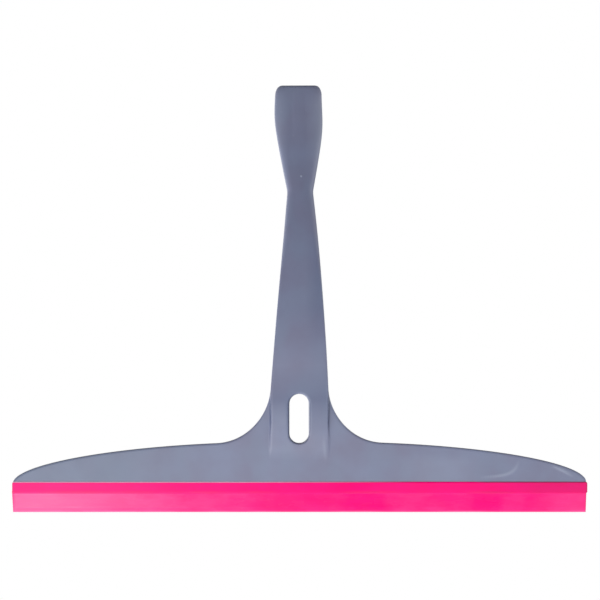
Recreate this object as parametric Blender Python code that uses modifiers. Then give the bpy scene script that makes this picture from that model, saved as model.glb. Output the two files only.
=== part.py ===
"""Window cleaning squeegee, 300 mm wide.

One plastic moulding makes the flat head plate and the handle. A soft blade is moulded over the plate's
lower edge: a band that grips a thin perforated tongue on the plate, and a lip that flexes on the glass.

Metres, +Z up, +X along the blade, -Y the front. Every height below is measured up from the wiping edge.
The empty "hang_point" carries the parts, so that the origin of the whole object is where a hook bears,
at the top end of the hanging slot.
"""

import math

import bmesh
import bpy
from mathutils import Vector

MM = 0.001
GAP = 0.3 * MM  # between touching pieces
SAME_PLANE = 0.0003  # radians between two faces that are one flat face
QUARTER_ROUND = 0.5523  # length of a Bezier handle for a quarter circle, as a share of its radius
OVERRUN = 2.0 * MM  # how far a cutter or a joined piece runs past the face that it meets

# Blade
LIP_HALF_LENGTH = 149.6 * MM
LIP_ROOT_RADIUS = 1.1 * MM
LIP_TIP_HALF = 0.3 * MM
LIP_BEVEL_HALF = 0.65 * MM
LIP_BEVEL_HEIGHT = 2.4 * MM
BAND_BOTTOM = 9.9 * MM
BAND_TOP = 15.9 * MM
BAND_HALF_LENGTH = 150.2 * MM
BAND_HALF_THICKNESS = 2.0 * MM
BAND_FLOOR = 1.0 * MM
BAND_CORNER = 0.5 * MM
FLEX_HEIGHT = BAND_BOTTOM - GAP - LIP_ROOT_RADIUS

# Tongue on the head plate's lower edge, and the pegs that lock the band to it
TONGUE_HALF_THICKNESS = 0.7 * MM
TONGUE_HALF_LENGTH = 148.6 * MM
TONGUE_BOTTOM = BAND_BOTTOM + BAND_FLOOR + GAP
PEG_RADIUS = 1.2 * MM
PEG_HEIGHT = 13.7 * MM
PEG_INSET = 0.4 * MM  # how far the pegs end inside the band's faces
PEG_SPACING = 27.0 * MM
PEGS_EACH_SIDE = 5

# Head plate
PLATE_HALF_THICKNESS = 1.5 * MM
PLATE_BOTTOM = BAND_TOP + GAP
PLATE_EDGE = 0.5 * MM
PLATE_TOP = 66.0 * MM
PLATE_TOP_INSET = 0.8 * MM  # keeps the plate's top corners inside the handle

# Handle: half widths follow two curves that meet at the waist
HANDLE_BOTTOM = 24.0 * MM
BOSS_TOP = 58.0 * MM
HANDLE_FOOT = 64.0 * MM
FLARE_TOP = 46.0 * MM  # below this the boss widens, by FLARE at its foot
FLARE = 1.6 * MM
WAIST = 167.6 * MM
HANDLE_TOP = 224.7 * MM
TOP_CORNER = (3.6 * MM, 5.2 * MM)  # how far the handle's top corners reach across and down
TOP_FRONT = (1.0 * MM, 1.3 * MM)  # the same for the edge that runs round its front and back
TOP_DIP = 0.4 * MM
LEAN_START = 62.0 * MM
LEAN_END = 150.0 * MM
LEAN = math.radians(14)

# Cored back of the handle
WALL = 1.8 * MM
SKIN = 1.8 * MM
RIB = 1.5 * MM
CORE_BOTTOM = 36.0 * MM
CORE_TOP = 218.5 * MM
CORE_ROUND = 0.8 * MM
BAYS_ABOVE_SLOT = 6
SLOT_BAY_TOP = 68.0 * MM

# Hanging slot
SLOT_BOTTOM = 36.1 * MM
SLOT_TOP = 61.5 * MM
SLOT_RADIUS = 5.0 * MM
COLLAR = 1.8 * MM
SLOT_PRISM_HALF = 12.0 * MM

# Points of the head's outline, right half: (x, height), as two Bezier stretches that share a point
SHOULDER = [(149.6, 16.2), (146.3, 25.9), (97.2, 34.0), (43.0, 36.1)]
FILLET = [(43.0, 36.1), (27.4, 36.85), (16.0, 50.2), (15.1, 64.2)]
# Half width of the handle against height, below and above the waist
LOWER_WIDTH = [(15.1, 64.0), (12.95, 99.5), (10.15, 133.0), (6.75, 167.6)]
UPPER_WIDTH = [(6.75, 167.6), (13.8, 205.2), (12.9, 202.0), (12.25, 221.9)]

# (height, front depth, back depth, edge round across, edge round in depth, crown), all in mm.
# Depths are from the handle's centre line, and the crown is how far the middle of the front swells.
SECTIONS = [
    (24, 1.4, 1.4, 1.0, 0.4, 0.0),
    (31, 1.6, 1.6, 1.0, 0.6, 0.0),
    (37, 2.15, 2.1, 0.8, 0.7, 0.0),
    (44, 3.3, 3.2, 0.5, 0.5, 0.1),
    (58, 4.8, 4.6, 0.4, 0.5, 0.2),
    (90, 4.9, 4.9, 0.6, 0.6, 0.4),
    (118, 5.0, 5.1, 1.1, 1.1, 0.4),
    (150, 5.2, 5.2, 3.6, 3.4, 0.3),
    (185, 4.9, 5.0, 4.6, 3.6, 0.3),
    (205, 4.4, 4.6, 9.2, 3.7, 0.3),
    (224, 4.0, 4.3, 9.0, 3.4, 0.3),
]
ARC_STEPS = 4
CROWN_STEPS = 6

PLASTIC = (0.21, 0.235, 0.335)
SOFT_PINK = (0.93, 0.012, 0.19)


def cubic(points, t):
    """The point at t, from 0 to 1, on a cubic Bezier given in mm."""
    a, b, c, d = (Vector(p) for p in points)
    s = 1 - t
    return (a * s**3 + b * 3 * s * s * t + c * 3 * s * t * t + d * t**3) * MM


def width_at(height):
    """Half width of the handle at a height, found by halving along the Bezier that holds it."""
    if height <= HANDLE_FOOT:
        down = max(0.0, (FLARE_TOP - height) / (FLARE_TOP - HANDLE_BOTTOM))
        return LOWER_WIDTH[0][0] * MM + FLARE * down**1.5
    points = LOWER_WIDTH if height <= WAIST else UPPER_WIDTH
    low, high = 0.0, 1.0
    for _ in range(30):
        middle = (low + high) / 2
        if cubic(points, middle).y < height:
            low = middle
        else:
            high = middle
    return cubic(points, low).x


def slopes(xs, ys):
    """Slopes of a smooth curve through the points that never overshoots them."""
    steps = [(ys[i + 1] - ys[i]) / (xs[i + 1] - xs[i]) for i in range(len(xs) - 1)]
    inner = [2 * a * b / (a + b) if a * b > 0 else 0.0 for a, b in zip(steps, steps[1:])]
    return [steps[0], *inner, steps[-1]]


def section_at(height):
    """The row of SECTIONS at any height, in metres, without the height."""
    z = min(max(height / MM, SECTIONS[0][0]), SECTIONS[-1][0])
    heights = [row[0] for row in SECTIONS]
    k = max(i for i in range(len(heights) - 1) if heights[i] <= z)
    span = heights[k + 1] - heights[k]
    t = (z - heights[k]) / span
    values = []
    for column in list(zip(*SECTIONS))[1:]:
        m = slopes(heights, column)
        values.append(
            (2 * t**3 - 3 * t**2 + 1) * column[k]
            + (t**3 - 2 * t**2 + t) * span * m[k]
            + (3 * t**2 - 2 * t**3) * column[k + 1]
            + (t**3 - t**2) * span * m[k + 1]
        )
    return [value * MM for value in values]


def centre_line(height):
    """How far back the handle's centre line lies: straight, then one arc, then leaning straight."""
    radius = (LEAN_END - LEAN_START) / math.sin(LEAN)
    if height <= LEAN_START:
        return 0.0
    if height <= LEAN_END:
        return radius - math.sqrt(radius**2 - (height - LEAN_START) ** 2)
    return radius * (1 - math.cos(LEAN)) + (height - LEAN_END) * math.tan(LEAN)


def ring(height, half_width, front, back, round_x, round_y, crown):
    """One closed section of the handle, anticlockwise from above, with square back edges."""
    flat = half_width - round_x
    points = [(half_width, back), (-half_width, back)]
    for i in range(ARC_STEPS + 1):
        a = math.pi / 2 * i / ARC_STEPS
        points.append((-flat - round_x * math.cos(a), front + round_y * (1 - math.sin(a))))
    for i in range(1, CROWN_STEPS):
        u = 2 * i / CROWN_STEPS - 1
        points.append((flat * u, front - crown * (1 - u * u)))
    for i in range(ARC_STEPS, -1, -1):
        a = math.pi / 2 * i / ARC_STEPS
        points.append((flat + round_x * math.cos(a), front + round_y * (1 - math.sin(a))))
    return [Vector((x, y, height)) for x, y in points]


def draw_in(height, corner):
    """How far a corner, given by its reach across and down from the handle's top, has drawn in."""
    across, down = corner
    near = min(1.0, max(0.0, 1 - (HANDLE_TOP - height) / down))
    return across * (1 - math.sqrt(1 - near**2))


def handle_ring(height):
    """The handle's outer section, drawn in where its top is rounded."""
    front, back, round_x, round_y, crown = section_at(height)
    y = centre_line(height)
    half_width = width_at(height) - draw_in(height, TOP_CORNER)
    shallow = draw_in(height, TOP_FRONT)
    points = ring(
        height,
        half_width,
        y - front + shallow,
        y + back - shallow,
        min(round_x, half_width - MM),
        round_y - shallow,
        crown,
    )
    dip = TOP_DIP * max(0.0, 1 - (HANDLE_TOP - height) / TOP_CORNER[1])
    for p in points:
        p.z -= dip * (1 - min(1.0, abs(p.x) / width_at(HANDLE_TOP - TOP_CORNER[1])) ** 2)
    return points


def core_ring(height):
    """The hollow inside the handle at a height. It runs out past the open back."""
    front, back, round_x, round_y, crown = section_at(height)
    y = centre_line(height)
    return ring(
        height,
        width_at(height) - WALL,
        y - front + SKIN,
        y + back + OVERRUN,
        max(CORE_ROUND, round_x - WALL),
        max(CORE_ROUND, round_y - SKIN),
        crown,
    )


def spaced(low, high, step):
    """Heights from low to high, evenly spaced by about step."""
    count = max(1, round((high - low) / step))
    return [low + (high - low) * i / count for i in range(count + 1)]


def material(name, color, roughness):
    mat = bpy.data.materials.new(name)
    mat.use_nodes = True
    shader = mat.node_tree.nodes["Principled BSDF"]
    shader.inputs["Base Color"].default_value = (*color, 1)
    shader.inputs["Roughness"].default_value = roughness
    shader.inputs["Metallic"].default_value = 0.0
    return mat


def add_object(name, data, collection, parent, location=(0, 0, 0), rotation=(0, 0, 0)):
    obj = bpy.data.objects.new(name, data)
    obj.location = location
    obj.rotation_euler = rotation
    obj.parent = parent
    collection.objects.link(obj)
    return obj


def loft(name, stacks, collection, parent):
    """A mesh of one closed loft for each stack of rings."""
    bm = bmesh.new()
    for rings in stacks:
        rows = [[bm.verts.new(p) for p in points] for points in rings]
        for low, high in zip(rows, rows[1:]):
            for i in range(len(low)):
                j = (i + 1) % len(low)
                bm.faces.new((low[i], low[j], high[j], high[i]))
        bm.faces.new(rows[0][::-1])
        bm.faces.new(rows[-1])
    mesh = bpy.data.meshes.new(name)
    bm.to_mesh(mesh)
    bm.free()
    return add_object(name, mesh, collection, parent)


def spline(curve, knots):
    """A closed Bezier spline through knots of (point, handle before, handle after).
    A handle that lies on its point makes that side straight."""
    line = curve.splines.new("BEZIER")
    line.bezier_points.add(len(knots) - 1)
    for point, (at, before, after) in zip(line.bezier_points, knots):
        point.handle_left_type = "VECTOR" if tuple(before) == tuple(at) else "FREE"
        point.handle_right_type = "VECTOR" if tuple(after) == tuple(at) else "FREE"
        point.co = (*at, 0)
        point.handle_left = (*before, 0)
        point.handle_right = (*after, 0)
    line.use_cyclic_u = True


def flat_curve(name, knots, half_thickness, resolution):
    """A filled 2D outline, given some thickness."""
    curve = bpy.data.curves.new(name, "CURVE")
    curve.dimensions = "2D"
    curve.fill_mode = "BOTH"
    curve.extrude = half_thickness
    curve.resolution_u = resolution
    spline(curve, knots)
    return curve


def meshed(curve_object, collection):
    """A mesh object in place of a curve object, with its caps welded on and each cap one face."""
    bpy.context.view_layer.update()
    name = curve_object.name
    graph = bpy.context.evaluated_depsgraph_get()
    mesh = bpy.data.meshes.new_from_object(curve_object.evaluated_get(graph))
    bm = bmesh.new()
    bm.from_mesh(mesh)
    bmesh.ops.remove_doubles(bm, verts=bm.verts, dist=0.01 * MM)
    bmesh.ops.dissolve_limit(bm, angle_limit=SAME_PLANE, verts=bm.verts, edges=bm.edges)
    bm.to_mesh(mesh)
    bm.free()
    parent, local = curve_object.parent, curve_object.matrix_local.copy()
    bpy.data.objects.remove(curve_object)
    obj = add_object(name, mesh, collection, parent)
    obj.matrix_local = local
    return obj


def corner(x, y):
    """A sharp knot, whose handles lie on it."""
    return ((x, y), (x, y), (x, y))


def head_knots():
    """The head plate's outline, anticlockwise from its lower left corner."""
    shoulder = [cubic(SHOULDER, 0), *(Vector(p) * MM for p in SHOULDER[1:])]
    fillet = [Vector(p) * MM for p in FILLET]
    right = [
        (shoulder[0], shoulder[0], shoulder[1]),
        (shoulder[3], shoulder[2], fillet[1]),
        (fillet[3], fillet[2], fillet[3]),
        (Vector((fillet[3].x - PLATE_TOP_INSET, PLATE_TOP)),) * 3,
    ]
    left = [
        tuple(Vector((-p.x, p.y)) for p in (at, after, before))
        for at, before, after in reversed(right)
    ]
    return right + left


def stadium_knots(radius, low, high):
    """A slot's outline: two half circles joined by straight sides."""
    k = radius * QUARTER_ROUND
    bottom, top = low + radius, high - radius
    return [
        ((0, low), (-k, low), (k, low)),
        ((radius, bottom), (radius, bottom - k), (radius, bottom)),
        ((radius, top), (radius, top), (radius, top + k)),
        ((0, high), (k, high), (-k, high)),
        ((-radius, top), (-radius, top + k), (-radius, top)),
        ((-radius, bottom), (-radius, bottom), (-radius, bottom - k)),
    ]


def box(name, low, high, collection, parent):
    bm = bmesh.new()
    bmesh.ops.create_cube(bm, size=1)
    bmesh.ops.scale(bm, vec=Vector(high) - Vector(low), verts=bm.verts)
    mesh = bpy.data.meshes.new(name)
    bm.to_mesh(mesh)
    bm.free()
    middle = (Vector(low) + Vector(high)) / 2
    return add_object(name, mesh, collection, parent, middle)


def peg_row(name, radius, half_length, collection, parent):
    """A row of cylinders that lie along Y, evenly spaced along the blade."""
    bm = bmesh.new()
    bmesh.ops.create_cone(
        bm, cap_ends=True, segments=12, radius1=radius, radius2=radius, depth=2 * half_length
    )
    first = bm.verts[:] + bm.edges[:] + bm.faces[:]
    for i in range(-PEGS_EACH_SIDE, PEGS_EACH_SIDE + 1):
        if i == 0:
            continue
        copy = bmesh.ops.duplicate(bm, geom=first)["geom"]
        verts = [v for v in copy if isinstance(v, bmesh.types.BMVert)]
        bmesh.ops.translate(bm, vec=(i * PEG_SPACING, 0, 0), verts=verts)
    mesh = bpy.data.meshes.new(name)
    bm.to_mesh(mesh)
    bm.free()
    lying = (math.pi / 2, 0, 0)
    return add_object(name, mesh, collection, parent, (0, 0, PEG_HEIGHT), lying)


def as_cutter(obj):
    obj.hide_render = True
    obj.display_type = "WIRE"


def boolean(obj, cutter, operation):
    modifier = obj.modifiers.new(cutter.name, "BOOLEAN")
    modifier.operation = operation
    modifier.solver = "EXACT"
    modifier.object = cutter
    as_cutter(cutter)


def bevel(obj, width, segments):
    modifier = obj.modifiers.new("Bevel", "BEVEL")
    modifier.width = width
    modifier.segments = segments
    modifier.limit_method = "ANGLE"
    modifier.angle_limit = math.radians(50)


def standing():
    """The rotation that stands a flat outline up in the XZ plane."""
    return (math.pi / 2, 0, 0)


def head_plate(collection, parent):
    curve = flat_curve("head_and_handle", head_knots(), PLATE_HALF_THICKNESS, 10)
    plate = add_object("head_and_handle", curve, collection, parent, rotation=standing())
    plate = meshed(plate, collection)
    bevel(plate, PLATE_EDGE, 2)
    return plate


def tongue(collection, parent):
    low = (-TONGUE_HALF_LENGTH, -TONGUE_HALF_THICKNESS, TONGUE_BOTTOM)
    high = (TONGUE_HALF_LENGTH, TONGUE_HALF_THICKNESS, PLATE_BOTTOM + OVERRUN)
    return box("tongue", low, high, collection, parent)


def handle_outside(collection, parent):
    heights = spaced(HANDLE_BOTTOM, BOSS_TOP, 3 * MM)
    heights += spaced(BOSS_TOP, WAIST - 6 * MM, 6 * MM)[1:]
    heights += spaced(WAIST - 6 * MM, HANDLE_TOP - TOP_CORNER[1], 3.5 * MM)[1:]
    rings = [handle_ring(z) for z in heights]
    for degrees in (20, 38, 55, 70, 82, 90):
        a = math.radians(degrees)
        z = HANDLE_TOP - TOP_CORNER[1] * (1 - math.sin(a))
        rings.append(handle_ring(z))
    return loft("handle_outside", [rings], collection, parent)


def handle_cores(collection, parent):
    """The hollows in the handle's back. The walls left between them are its cross ribs."""
    edges = spaced(SLOT_BAY_TOP, CORE_TOP + RIB, (CORE_TOP - SLOT_BAY_TOP) / BAYS_ABOVE_SLOT)
    bays = [(CORE_BOTTOM, SLOT_BAY_TOP - RIB)]
    bays += [(low, high - RIB) for low, high in zip(edges, edges[1:])]
    stacks = [[core_ring(z) for z in spaced(low, high, 6 * MM)] for low, high in bays]
    return loft("handle_cores", stacks, collection, parent)


def slot_prism(name, grow, collection, parent):
    """The hanging slot's outline, grown by a margin, as a prism through the handle."""
    knots = stadium_knots(SLOT_RADIUS + grow, SLOT_BOTTOM - grow, SLOT_TOP + grow)
    curve = flat_curve(name, knots, SLOT_PRISM_HALF, 6)
    prism = add_object(name, curve, collection, parent, rotation=standing())
    return meshed(prism, collection)


def build_head_and_handle(parts, cutters, parent):
    body = head_plate(parts, parent)
    cores = handle_cores(cutters, parent)
    boolean(cores, slot_prism("slot_collar", COLLAR, cutters, parent), "DIFFERENCE")
    boolean(body, handle_outside(cutters, parent), "UNION")
    boolean(body, tongue(cutters, parent), "UNION")
    boolean(body, cores, "DIFFERENCE")
    boolean(body, slot_prism("hanging_slot", 0.0, cutters, parent), "DIFFERENCE")
    holes = peg_row("tongue_holes", PEG_RADIUS + GAP, OVERRUN, cutters, parent)
    boolean(body, holes, "DIFFERENCE")
    body.data.materials.append(material("blue_grey_plastic", PLASTIC, 0.42))


def build_blade_band(parts, cutters, parent):
    low = (-BAND_HALF_LENGTH, -BAND_HALF_THICKNESS, BAND_BOTTOM)
    high = (BAND_HALF_LENGTH, BAND_HALF_THICKNESS, BAND_TOP)
    band = box("blade_band", low, high, parts, parent)
    bevel(band, BAND_CORNER, 3)
    reach = (TONGUE_HALF_LENGTH + GAP, TONGUE_HALF_THICKNESS + GAP)
    low = (-reach[0], -reach[1], BAND_BOTTOM + BAND_FLOOR)
    high = (reach[0], reach[1], BAND_TOP + OVERRUN)
    boolean(band, box("band_channel", low, high, cutters, parent), "DIFFERENCE")
    pegs = peg_row("band_pegs", PEG_RADIUS, BAND_HALF_THICKNESS - PEG_INSET, cutters, parent)
    boolean(band, pegs, "UNION")
    band.data.materials.append(material("soft_pink", SOFT_PINK, 0.35))


def build_blade_lip(parts, parent):
    """The lip, seen from its end, with its half-round root centred on the line that it flexes about."""
    r = LIP_ROOT_RADIUS
    k = r * QUARTER_ROUND
    bevel_down = FLEX_HEIGHT - LIP_BEVEL_HEIGHT
    knots = [
        ((r, 0), (r, 0), (r, k)),
        ((0, r), (k, r), (-k, r)),
        ((-r, 0), (-r, k), (-r, 0)),
        corner(-LIP_BEVEL_HALF, -bevel_down),
        corner(-LIP_TIP_HALF, -FLEX_HEIGHT),
        corner(LIP_TIP_HALF, -FLEX_HEIGHT),
        corner(LIP_BEVEL_HALF, -bevel_down),
    ]
    curve = flat_curve("blade_lip", knots, LIP_HALF_LENGTH, 5)
    curve.materials.append(material("soft_pink_lip", SOFT_PINK, 0.35))
    along_x = (math.pi / 2, 0, math.pi / 2)
    add_object("blade_lip", curve, parts, parent, (0, 0, FLEX_HEIGHT), along_x)


def new_collection(name):
    collection = bpy.data.collections.new(name)
    bpy.context.scene.collection.children.link(collection)
    return collection


def main():
    for obj in list(bpy.data.objects):
        bpy.data.objects.remove(obj)
    parts = new_collection("window_squeegee")
    cutters = new_collection("cutters")
    hang_point = add_object("hang_point", None, parts, None, (0, 0, -SLOT_TOP))
    build_head_and_handle(parts, cutters, hang_point)
    build_blade_band(parts, cutters, hang_point)
    build_blade_lip(parts, hang_point)


main()
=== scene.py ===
"""The looks of the window cleaning squeegee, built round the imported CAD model.

Two pieces replace the plain CAD solids: the moulded head and handle, with its rounded edges and blended
boss, and the soft blade as the single moulding that it really is, which bends across the flex joint.
Lengths are in metres. Heights named here are measured up from the wiping edge.
"""

import math

import bmesh
import bpy
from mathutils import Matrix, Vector
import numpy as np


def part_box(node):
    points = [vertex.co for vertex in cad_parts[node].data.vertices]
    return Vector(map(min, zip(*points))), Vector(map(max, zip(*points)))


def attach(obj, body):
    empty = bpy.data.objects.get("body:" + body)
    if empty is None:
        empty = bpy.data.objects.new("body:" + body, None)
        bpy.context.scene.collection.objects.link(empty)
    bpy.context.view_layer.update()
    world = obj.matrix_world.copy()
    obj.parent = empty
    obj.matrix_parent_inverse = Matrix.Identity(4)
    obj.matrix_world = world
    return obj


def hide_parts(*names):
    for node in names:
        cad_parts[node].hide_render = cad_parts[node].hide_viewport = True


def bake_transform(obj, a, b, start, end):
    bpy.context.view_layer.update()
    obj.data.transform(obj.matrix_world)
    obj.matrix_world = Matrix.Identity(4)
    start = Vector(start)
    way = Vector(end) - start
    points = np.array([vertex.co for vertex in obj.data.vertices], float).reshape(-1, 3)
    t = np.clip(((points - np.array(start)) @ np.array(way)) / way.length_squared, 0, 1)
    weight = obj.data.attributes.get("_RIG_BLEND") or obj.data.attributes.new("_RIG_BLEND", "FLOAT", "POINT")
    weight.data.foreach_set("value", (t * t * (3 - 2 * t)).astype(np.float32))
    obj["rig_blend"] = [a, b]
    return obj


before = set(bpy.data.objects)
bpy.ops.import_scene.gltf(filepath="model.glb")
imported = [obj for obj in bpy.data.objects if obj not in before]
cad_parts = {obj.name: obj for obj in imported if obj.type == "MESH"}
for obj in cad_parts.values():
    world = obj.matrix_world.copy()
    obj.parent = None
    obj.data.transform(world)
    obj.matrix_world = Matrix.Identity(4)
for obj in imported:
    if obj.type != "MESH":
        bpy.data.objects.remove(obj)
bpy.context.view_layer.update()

MM = 0.001
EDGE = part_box("blade_lip")[0].z  # the wiping edge in the row frame

# Blade, sized from the CAD. BAND_BOTTOM and BAND_TOP are heights.
BAND_HALF_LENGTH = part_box("blade_band")[1].x
BAND_HALF_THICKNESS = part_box("blade_band")[1].y
BAND_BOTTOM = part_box("blade_band")[0].z - EDGE
BAND_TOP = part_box("blade_band")[1].z - EDGE
BAND_EDGE = 0.12 * MM
BAND_CORNER = 1.0 * MM
FEATHER_HEIGHT = 0.6 * MM  # over which the band's top thins down to a feather edge
FEATHER_HALF = 1.6 * MM
FEATHER_STEP = 0.12 * MM
BAND_LEFT_TRIM = 0.35 * MM
LIP_ROOT_HALF_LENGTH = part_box("blade_lip")[1].x + 0.15 * MM
LIP_TIP_HALF_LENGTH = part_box("blade_lip")[1].x - 0.15 * MM
LIP_FILLET = 0.2 * MM
LIP_ROOT_HALF = 1.1 * MM
LIP_BEVEL_HALF = 0.65 * MM
LIP_BEVEL_HEIGHT = 2.4 * MM
LIP_TIP_HALF = 0.3 * MM
LIP_END_ROUND = 0.25 * MM
LIP_LEFT_FLARE = 0.25 * MM  # how much further the left end reaches at the lip's root
LIP_FACE_STEPS = 12
LIP_BEVEL_STEPS = 4
LIP_STATION_STEP = 2.0 * MM
LIP_END_SQUEEZE = [(0.0, 0.75), (0.35, 0.93)]  # (how far into the end's rounding, thickness kept)
LIP_WAVE = 0.07 * MM

# Head and handle, close to the CAD's
PLATE_HALF_THICKNESS = 1.5 * MM
PLATE_EDGE = 0.7 * MM
PLATE_TOP = 66.0 * MM
PLATE_TOP_INSET = 0.8 * MM  # keeps the plate's top corners inside the handle
TONGUE_BOTTOM = 13.0 * MM
TONGUE_HALF_LENGTH = 149.6 * MM
HANDLE_BOTTOM = 24.0 * MM
HANDLE_FOOT = 64.0 * MM
FLARE_TOP = 46.0 * MM  # below this the boss widens, by FLARE at its foot
FLARE = 1.6 * MM
WAIST = 167.6 * MM
HANDLE_TOP = 224.7 * MM
TOP_CORNER = (3.6 * MM, 5.2 * MM)  # how far the handle's top corners reach across and down
TOP_FRONT = (1.0 * MM, 1.3 * MM)  # the same for the edge that runs round its front and back
TOP_DIP = 0.4 * MM
LEAN_START = 62.0 * MM
LEAN_END = 150.0 * MM
LEAN = math.radians(14)
RING_STEP = 1.6 * MM
WALL = 1.8 * MM
SKIN = 1.8 * MM
RIB = 1.5 * MM
CORE_STEP = 2.0 * MM
CORE_OVERRUN = 2.0 * MM  # how far the hollow's cutter runs out past the open back
CORE_BOTTOM = 36.0 * MM
CORE_TOP = 218.5 * MM
CORE_ROUND = 0.8 * MM
BAYS_ABOVE_SLOT = 6
SLOT_BAY_TOP = 68.0 * MM
SLOT_BOTTOM = 36.1 * MM
SLOT_TOP = 61.5 * MM
SLOT_RADIUS = 5.0 * MM
SLOT_ACROSS = -0.2 * MM  # how far the slot sits off the middle
SLOT_FLARE_DEPTH = 3.0 * MM  # how far the slot's cutter runs out past each face
SLOT_RIM = 0.35 * MM
SLOT_DRAFT = 0.45 * MM  # how much wider the slot is at the front, on each side
COLLAR = 1.8 * MM
COLLAR_REACH = 12.0 * MM
# The outline's Beziers in (x, height): the head's shoulder, the fillet up to the handle, the handle's sides
SHOULDER = [(149.6, 16.2), (146.3, 25.9), (97.2, 34.0), (43.0, 36.1)]
FILLET = [(43.0, 36.1), (27.4, 36.85), (16.0, 50.2), (15.1, 64.2)]
LOWER_WIDTH = [(15.1, 64.0), (12.95, 99.5), (10.15, 133.0), (6.75, 167.6)]
UPPER_WIDTH = [(6.75, 167.6), (13.8, 205.2), (12.9, 202.0), (12.25, 221.9)]
BOSS_HALF_WIDTH = LOWER_WIDTH[0][0] * MM
# (height, front depth, back depth, edge round across, edge round in depth, crown), all in mm
SECTIONS = [
    (24, 1.4, 1.4, 1.0, 0.4, 0.0),
    (31, 1.6, 1.6, 1.0, 0.6, 0.0),
    (37, 2.15, 2.1, 0.8, 0.7, 0.0),
    (44, 3.3, 3.2, 0.5, 0.5, 0.1),
    (58, 4.8, 4.6, 0.4, 0.5, 0.2),
    (90, 4.9, 4.9, 0.6, 0.6, 0.4),
    (118, 5.0, 5.1, 1.1, 1.1, 0.4),
    (150, 5.2, 5.2, 3.6, 3.4, 0.3),
    (185, 4.9, 5.0, 4.6, 3.6, 0.3),
    (205, 4.4, 4.6, 9.2, 3.7, 0.3),
    (224, 4.0, 4.3, 9.0, 3.4, 0.3),
]
ROUND_HANDLE = 0.5523  # the length of a Bezier's handles where it stands for a quarter of a unit circle
ARC_STEPS = 10
SLOT_ARC_STEPS = 24
CROWN_STEPS = 14
MERGE = 0.01 * MM
VOXEL = 0.38 * MM
SMOOTH_PASSES = 4
BODY_FACES = 190000
# The moulding's slight warp: (height, shift to the right), in mm, and the head's tilt
WARP = [(60, 0.0), (92, 0.42), (140, 0.68), (170, 0.36), (194, 0.0), (214, -0.62), (225, -0.5)]
HEAD_TILT = 0.0031

# Camera
VIEW_HEIGHT = 110.7 * MM
VIEW_ACROSS = 0.3 * MM
VIEW_WIDTH = 313.3 * MM
CAMERA_DISTANCE = 1.8
SENSOR = 36.0  # mm, as Blender gives it
CLIP_END = 50.0

# Marks that the mould leaves: (x, height), in mm
GATE_MARK = (0.6, 175.9)
GATE_RADIUS = 0.6 * MM
GATE_HEIGHT = 0.16 * MM
EJECTOR_RADIUS = 2.6 * MM
EJECTOR_DEPTH = 0.18 * MM
EJECTOR_EDGE = 0.7 * MM  # the width of the slope round each mark
EJECTORS_ON_PLATE = [(42, 24), (88, 23), (132, 20)]  # on the back, on both wings
# Faint raised flow lines on the front, right of the middle, with a painted highlight along them: (strength,
# Bezier in (x, height) in mm)
FLOW_LINES = [
    (1.0, [(94, 18.0), (107, 18.6), (113, 19.4), (114.6, 26.6)]),
    (1.0, [(132, 24.0), (135.2, 22.4), (138.5, 21.2), (143, 18.2)]),
    (0.4, [(12.9, 40.5), (13.0, 36.0), (13.4, 31.0), (13.8, 27.0)]),
]
FLOW_HEIGHT = 0.11 * MM
FLOW_WIDTH = 0.8 * MM
FLOW_REACH = 3.0 * MM  # no flow line is felt further away than this
FLOW_STEPS = 24

# Scene
FLOOR_HEIGHT = -0.42
FLOOR_RADIUS = 1.3
PAPER_WHITE = (1.0, 1.0, 1.0, 1.0)
# Soft light that comes from all round the object: (towards, strength)
SKY_LOBES = [
    ((-1, 1, -1), 4.9),
    ((-1, -1, -1), 2.9),
    ((1, 0, 0), 2.65),
    ((-1, 1, 1), 1.3),
    ((1, 1, 1), 0.25),
]
LOBE_FOCUS = 10

PLASTIC_LIGHT = (0.212, 0.238, 0.356, 1)
PLASTIC_DARK = (0.200, 0.207, 0.310, 1)
PLASTIC_TINT = (0.205, 0.243, 0.352, 1)
# Paler plastic for the convex edges: some wear, and partly a painted highlight along them.
PLASTIC_WORN_SHEEN = (0.33, 0.35, 0.46, 1)
# Paler plastic: a painted highlight on the grip's sides and along the flow lines, also the pale gate mark
# and a patch on the right wing.
PLASTIC_PALE = (0.30, 0.335, 0.45, 1)
# Darkest plastic: painted shade in inner corners, up the handle, on its right side, along the boss's upper
# sides and down the slot's left wall; also darker round the slot.
PLASTIC_DEEP = (0.0, 0.025, 0.11, 1)
PLASTIC_GREEN = (0.175, 0.225, 0.305, 1)  # the left wing's slight tinge
PINK = (0.99, 0.004, 0.215, 1)
PINK_DEEP = (0.97, 0.001, 0.185, 1)
# Pale pink: the lip's painted glare, and a paler stretch of the band.
PINK_PALE = (1.0, 0.042, 0.266, 1)
PINK_GLARE = (1.0, 0.145, 0.385, 1)  # painted glare on the lip towards its ends
# The blade gives off a faint pink light of its own, a painted glow that brightens it.
PINK_PAINTED_GLOW = (1.0, 0.0, 0.13, 1)
PINK_FEATHER_HIGHLIGHT = (0.92, 0.58, 0.78, 1)  # painted highlight along the thin edge of the band's top
PINK_SHADED = (0.38, 0.045, 0.12, 1)
PINK_TIP = (0.76, 0.19, 0.42, 1)
# Where the lip's painted glare gives way to its deep colour, in mm: (middle, half length, how much)
DEEP_PATCHES = [(0, 23, 0.75), (33, 14, 1.0), (96, 9, 0.8), (124, 7, 0.4)]


def cubic(points, t):
    """The point at t, from 0 to 1, on a cubic Bezier given in mm."""
    a, b, c, d = (Vector(p) for p in points)
    s = 1 - t
    return (a * s**3 + b * 3 * s * s * t + c * 3 * s * t * t + d * t**3) * MM


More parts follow.
